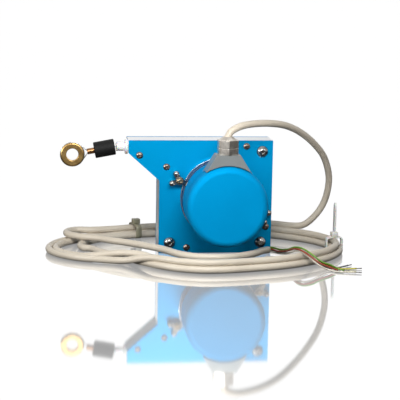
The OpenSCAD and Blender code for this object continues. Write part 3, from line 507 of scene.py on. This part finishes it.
slots = {part["node"]: part["material_slot"] for part in frame["record"]["subparts"]}
brokenEdges = {
    "front_plate": 0.4, "back_plate": 0.4, "housing_frame": 0.35, "encoder_flange": 0.4, "servo_clamps": 0.3,
    "corner_screws": 0.25, "plate_screws": 0.18, "clamp_screws": 0.18, "inlet_nozzle": 0.35,
    "encoder_body": 0.45, "gland_body": 0.3, "gland_nut": 0.35,
}
edgedPieces = {}
for nodeName, width in brokenEdges.items():
    edgedPieces[nodeName] = edged(nodeName, width, slots[nodeName])
wireEndEdges = {"buffer_sleeve": 0.6, "crimp_ferrule": 0.35}
for nodeName, width in wireEndEdges.items():
    edgedPieces[nodeName] = edged(nodeName, width, slots[nodeName], "wire_end")

# the cap again with its front edge rounded further: wall, skirt and depth stay as packed
cap = {"edge": 5.0, "wall": 1.8, "hollowStart": 1.4, "skirtLength": 3.0, "skirtWall": 1.5, "skirtInset": 2.7,
       "sides": 128, "arcSteps": 10}


def capProfile(radius, back, front, skirtRadius):
    # radius and depth pairs from the middle of the front face round the outside and back along the inside
    edge, wall = cap["edge"], cap["wall"]
    outer = [(radius - edge + edge * math.sin(a), front + edge - edge * math.cos(a))
             for a in (math.radians(90 * k / cap["arcSteps"]) for k in range(cap["arcSteps"] + 1))]
    inner = [(radius - edge + (edge - wall) * math.sin(a), front + edge - (edge - wall) * math.cos(a))
             for a in (math.radians(90 * k / cap["arcSteps"]) for k in range(cap["arcSteps"], -1, -1))]
    seat = back - cap["skirtLength"]
    hollow = seat - cap["hollowStart"]
    rim = [(radius, seat), (skirtRadius, seat), (skirtRadius, back), (skirtRadius - cap["skirtWall"], back),
           (skirtRadius - cap["skirtWall"], hollow), (radius - wall, hollow)]
    return outer + rim + inner


def turnedShell(name, profile, centreX, centreZ, sides):
    points, faces = [], []
    rings = len(profile)
    for k in range(sides):
        turn = 2 * math.pi * k / sides
        points += [Vector((centreX + r * math.cos(turn), y, centreZ + r * math.sin(turn))) * mm
                   for r, y in profile]
    for k in range(sides):
        after = (k + 1) % sides
        faces += [(k * rings + i, k * rings + i + 1, after * rings + i + 1, after * rings + i)
                  for i in range(rings - 1)]
    faces.append(tuple(k * rings for k in range(sides)))
    faces.append(tuple(k * rings + rings - 1 for k in range(sides)))
    piece = meshFrom(name, points, faces)
    faceOutwards(piece)
    weighted = piece.modifiers.new("flatFaces", "WEIGHTED_NORMAL")
    weighted.weight = 100
    finishedMesh(piece)
    return piece


capLow, capHigh = [[c / mm for c in corner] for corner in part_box("encoder_cap")]
capRadius = (capHigh[0] - capLow[0]) / 2
capPiece = turnedShell(
    "encoder_cap_rounded", capProfile(capRadius, capHigh[1], capLow[1], capRadius - cap["skirtInset"]),
    (capHigh[0] + capLow[0]) / 2, (capHigh[2] + capLow[2]) / 2, cap["sides"],
)
dress(capPiece, slots["encoder_cap"], "housing")
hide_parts("encoder_cap")
print("cap: radius", round(capRadius, 2), "mm, edge", cap["edge"], "mm")

# the body's ring gets the cap's blue finish, its outlet boss keeps the bare grey one
boss = {"above": 62.0, "outside": 29.65, "front": -44.05}
bodyMesh = edgedPieces["encoder_body"].data
bodyMesh.materials.append(finishes["cap_blue"])
for polygon in bodyMesh.polygons:
    x, y, z = polygon.center / mm
    fromAxis = math.hypot(x - encoderAxis[0], z - encoderAxis[2])
    if not (z > boss["above"] and (fromAxis > boss["outside"] or y < boss["front"])):
        polygon.material_index = 1
print("broken edges:", len(edgedPieces), "parts")

droop = math.radians(10.5)
wireEnd = {"hinge": (-74.0, 0.0, 79.1), "start": -5.0, "ropeEnd": 18.6, "radius": 0.4}
outwards = Vector((-math.cos(droop), 0, -math.sin(droop)))
hinge = Vector(wireEnd["hinge"])
wireRoute = [(wireEnd["start"], 0, hinge.z), (-30, 0, hinge.z), (-55, 0, hinge.z), (-66, 0, hinge.z),
             (-70, 0, hinge.z), tuple(hinge)]
wireRoute += [tuple(hinge + outwards * d) for d in (3, 8, 13, wireEnd["ropeEnd"])]
wirePath, wireLength = smoothRoute(wireRoute, 0.5 * mm)
wirePiece = tubeAlong("measuringWire", wirePath, lambda t: wireEnd["radius"] * mm, 14, (0, 0, 1),
                      twist=0.35, lobes=7, lobeDepth=0.22)
wirePiece.data.materials.append(finishes["rope_steel"])
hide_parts("wire_rope")
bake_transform(wirePiece)
print("measuring wire:", round(wireLength, 3), "m")


# cable ties: a strap round the strands, a head, and a toothed tail where it is left long
ties = {
    "left": {"angle": 121, "inset": 8.0, "inner": 16.0, "turned": 180, "head": (-1.0, 4.0), "tail": 0.0,
             "slot": "tie_olive"},
    "right": {"angle": 2, "inset": 5.5, "inner": 11.0, "turned": 0, "head": (0.0, 3.6), "tail": 22.4,
              "slot": "tie_white"},
}
tieShape = {"width": 4.6, "thickness": 1.1, "coilHeight": 9.8, "corner": 2.4, "headWidth": 5.8,
            "headDepth": 5.0, "headEdge": 0.6,
            "toothPitch": 1.5, "toothHeight": 0.7, "toothDepth": 0.3, "toothWidth": 3.2}


def stripAlong(name, path, width, thickness, closed, taperAt=None):
    # a flat strip with rounded edges along points in local y and z
    half, edge = thickness / 2, thickness * 0.28
    count = len(path)
    points, faces = [], []
    for i, (y, z) in enumerate(path):
        before = path[i - 1] if closed or i else path[0]
        after = path[(i + 1) % count] if closed else path[min(i + 1, count - 1)]
        along = Vector((after[0] - before[0], after[1] - before[1])).normalized()
        out = (along.y, -along.x)
        side = width / 2 * (taperAt(i / (count - 1)) if taperAt else 1)
        for x, d in [(-side + edge, half), (side - edge, half), (side, half - edge), (side, edge - half),
                     (side - edge, -half), (edge - side, -half), (-side, edge - half), (-side, half - edge)]:
            points.append((x, y + out[0] * d, z + out[1] * d))
    for i in range(count if closed else count - 1):
        j = (i + 1) % count
        faces += [(i * 8 + k, i * 8 + (k + 1) % 8, j * 8 + (k + 1) % 8, j * 8 + k) for k in range(8)]
    if not closed:
        faces += [tuple(range(7, -1, -1)), tuple((count - 1) * 8 + k for k in range(8))]
    piece = meshFrom(name, [Vector(p) * mm for p in points], faces)
    faceOutwards(piece)
    return piece


def roundedLoop(halfWidth, low, high, corner):
    path = []
    for cy, cz, start in [(halfWidth - corner, high - corner, 0), (corner - halfWidth, high - corner, 90),
                          (corner - halfWidth, low + corner, 180), (halfWidth - corner, low + corner, 270)]:
        for k in range(7):
            angle = math.radians(start + 15 * k)
            path.append((cy + corner * math.cos(angle), cz + corner * math.sin(angle)))
    return path


def toothLadder():
    # ribs one above the other, their number and sizes set on the modifier
    tree = bpy.data.node_groups.new("tieTeeth", "GeometryNodeTree")
    tree.interface.new_socket("Teeth", in_out="OUTPUT", socket_type="NodeSocketGeometry")
    sockets = {name: tree.interface.new_socket(name, in_out="INPUT", socket_type=kind) for name, kind in {
        "Count": "NodeSocketInt", "Pitch": "NodeSocketFloat", "Size": "NodeSocketVector",
        "Start": "NodeSocketVector", "Finish": "NodeSocketMaterial"}.items()}
    given = addNode(tree, "NodeGroupInput").outputs
    offset = addNode(tree, "ShaderNodeCombineXYZ", {"Z": given["Pitch"]})
    line = addNode(tree, "GeometryNodeMeshLine", {"Count": given["Count"], "Start Location": given["Start"],
                                                  "Offset": offset.outputs["Vector"]})
    rib = addNode(tree, "GeometryNodeMeshCube", {"Size": given["Size"]})
    row = addNode(tree, "GeometryNodeInstanceOnPoints", {"Points": line.outputs["Mesh"],
                                                         "Instance": rib.outputs["Mesh"]})
    solid = addNode(tree, "GeometryNodeRealizeInstances", {"Geometry": row.outputs["Instances"]})
    shown = addNode(tree, "GeometryNodeSetMaterial", {"Geometry": solid.outputs["Geometry"],
                                                      "Material": given["Finish"]})
    addNode(tree, "NodeGroupOutput", {"Teeth": shown.outputs["Geometry"]})
    return tree, sockets


teethTree, teethSockets = toothLadder()
for side, tie in ties.items():
    place = coilPoint(tie["angle"], tie["inset"], 0) * mm
    heading = (coilEdge(tie["angle"] + 1) - coilEdge(tie["angle"] - 1)).normalized()
    turn = math.atan2(heading.y, heading.x) + math.radians(tie["turned"])
    setting = Matrix.Translation(place) @ Matrix.Rotation(turn, 4, "Z")
    thick, width = tieShape["thickness"], tieShape["width"]
    top = tieShape["coilHeight"] + thick
    headMiddle, headHeight = tie["head"]
    loop = roundedLoop(tie["inner"] / 2 + thick / 2, thick / 2, top - thick / 2, tieShape["corner"])
    strap = stripAlong(f"tie_{side}_strap", loop, width, thick, True)
    work = bmesh.new()
    bmesh.ops.create_cube(work, size=1.0, matrix=Matrix.Translation(
        Vector((0, headMiddle, top + headHeight / 2)) * mm) @ Matrix.Diagonal(
        (tieShape["headWidth"] * mm, tieShape["headDepth"] * mm, headHeight * mm, 1)))
    bmesh.ops.bevel(work, geom=work.edges[:], offset=tieShape["headEdge"] * mm, segments=3,
                    affect="EDGES", profile=0.5)
    headMesh = bpy.data.meshes.new(f"tie_{side}_head")
    work.to_mesh(headMesh)
    work.free()
    headMesh.shade_smooth()
    head = linkObject(f"tie_{side}_head", headMesh)
    made = [strap, head]
    if tie["tail"]:
        foot = top + headHeight
        path = [(0, foot - 1.5 + (tie["tail"] + 1.5) * k / 12) for k in range(13)]
        made.append(stripAlong(f"tie_{side}_tail", path, width, thick, False,
                               lambda t: 1 if t < 0.85 else 1 - 2.6 * (t - 0.85)))
        teeth = linkObject(f"tie_{side}_teeth", bpy.data.meshes.new(f"tie_{side}_teeth"))
        ladder = teeth.modifiers.new("teeth", "NODES")
        ladder.node_group = teethTree
        for socketName, value in {
            "Count": int((tie["tail"] - 4) / tieShape["toothPitch"]),
            "Pitch": tieShape["toothPitch"] * mm,
            "Size": [tieShape["toothWidth"] * mm, tieShape["toothDepth"] * 2 * mm,
                     tieShape["toothHeight"] * mm],
            "Start": [0, -thick / 2 * mm, (foot + 1) * mm],
            "Finish": finishes[tie["slot"]],
        }.items():
            ladder[teethSockets[socketName].identifier] = value
        finishedMesh(teeth)
        made.append(teeth)
    for piece in made:
        piece.data.transform(setting)
        dress(piece, tie["slot"], "housing")
    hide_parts(f"cable_tie_{side}")
    tie["made"] = made
print("cable ties:", sum(len(tie["made"]) for tie in ties.values()), "pieces")

# polished white acrylic: white by itself for the camera, with a mirror image of what stands on it
floorLook = {"mirror": 0.70, "lift": 1.0, "tone": "#5C5C5C", "roughness": 0.05, "reach": 14, "gap": 0.0002}
floorMaterial, tree, shader = newFinish("whiteAcrylic")
shader.inputs["Base Color"].default_value = toLinear(floorLook["tone"])
shader.inputs["Specular IOR Level"].default_value = 0.0
rays = addNode(tree, "ShaderNodeLightPath").outputs["Is Camera Ray"]
lift = addNode(tree, "ShaderNodeMath", {0: rays, 1: floorLook["lift"]}, operation="MULTIPLY")
glow = addNode(tree, "ShaderNodeEmission", {"Strength": lift.outputs[0]})
matt = addNode(tree, "ShaderNodeAddShader", {0: shader.outputs["BSDF"], 1: glow.outputs["Emission"]})
polish = addNode(tree, "ShaderNodeBsdfGlossy", {"Color": (1, 1, 1, 1), "Roughness": floorLook["roughness"]})
share = addNode(tree, "ShaderNodeMath", {0: rays, 1: floorLook["mirror"]}, operation="MULTIPLY")
total = addNode(tree, "ShaderNodeMixShader", {0: share.outputs[0], 1: matt.outputs[0], 2: polish.outputs[0]})
tree.links.new(total.outputs[0], tree.nodes["Material Output"].inputs["Surface"])
reach, under = floorLook["reach"], -floorLook["gap"]
corners = [(-reach, -reach, under), (reach, -reach, under), (reach, reach, under), (-reach, reach, under)]
floorPiece = meshFrom("studioFloor", corners, [(0, 1, 2, 3)], smooth=False)
floorPiece.data.materials.append(floorMaterial)

# a white backdrop that only camera and mirror rays see, a dim room all round for the rest
room = {"ambient": 0.08, "front": 0.62, "backdrop": 1.0, "turnFrom": -0.9, "turnTo": 0.4}
world = bpy.data.worlds.new("studioWorld")
scene.world = world
world.use_nodes = True
tree = world.node_tree
tree.nodes.clear()
direction = addNode(tree, "ShaderNodeTexCoord").outputs["Generated"]
parts = addNode(tree, "ShaderNodeSeparateXYZ", {"Vector": direction})
behind = addNode(tree, "ShaderNodeMapRange", {"Value": parts.outputs["Y"], "From Min": room["turnFrom"],
                                              "From Max": room["turnTo"],
                                              "To Min": room["front"], "To Max": room["backdrop"]},
                 interpolation_type="SMOOTHSTEP")
rays = addNode(tree, "ShaderNodeLightPath")
seen = addNode(tree, "ShaderNodeMath", {0: rays.outputs["Is Camera Ray"], 1: rays.outputs["Is Glossy Ray"]},
               operation="MAXIMUM")
mirrored = addNode(tree, "ShaderNodeMix",
                   {0: rays.outputs["Is Camera Ray"], 2: behind.outputs["Result"], 3: 1.0})
strength = addNode(tree, "ShaderNodeMix", {0: seen.outputs[0], 2: room["ambient"], 3: mirrored.outputs[0]})
background = addNode(tree, "ShaderNodeBackground", {"Color": (1, 1, 1, 1), "Strength": strength.outputs[0]})
addNode(tree, "ShaderNodeOutputWorld", {"Surface": background.outputs["Background"]})

lamps = {
    "keySoftbox": {"place": (-0.03, -0.29, 0.24), "aim": (0.0, -0.08, 0.06), "width": 0.20, "height": 0.12,
                   "power": 1.15},
    "leftSoftbox": {"place": (-0.58, -0.34, 0.24), "aim": (0.0, -0.06, 0.04), "width": 0.16, "height": 0.16,
                    "power": 2.0},
    "rightSoftbox": {"place": (0.46, -0.52, 0.44), "aim": (0.0, -0.05, 0.05), "width": 0.16, "height": 0.16,
                     "power": 0.5},
}
for name, lamp in lamps.items():
    light = bpy.data.lights.new(name, "AREA")
    light.shape = "RECTANGLE"
    light.size, light.size_y = lamp["width"], lamp["height"]
    light.energy = lamp["power"]
    lampObject = linkObject(name, light)
    lampObject.location = lamp["place"]
    lampObject.rotation_mode = "QUATERNION"
    lampObject.rotation_quaternion = (Vector(lamp["aim"]) - Vector(lamp["place"])).to_track_quat("-Z", "Y")

scene.view_settings.view_transform = "Standard"
print("stage ready")
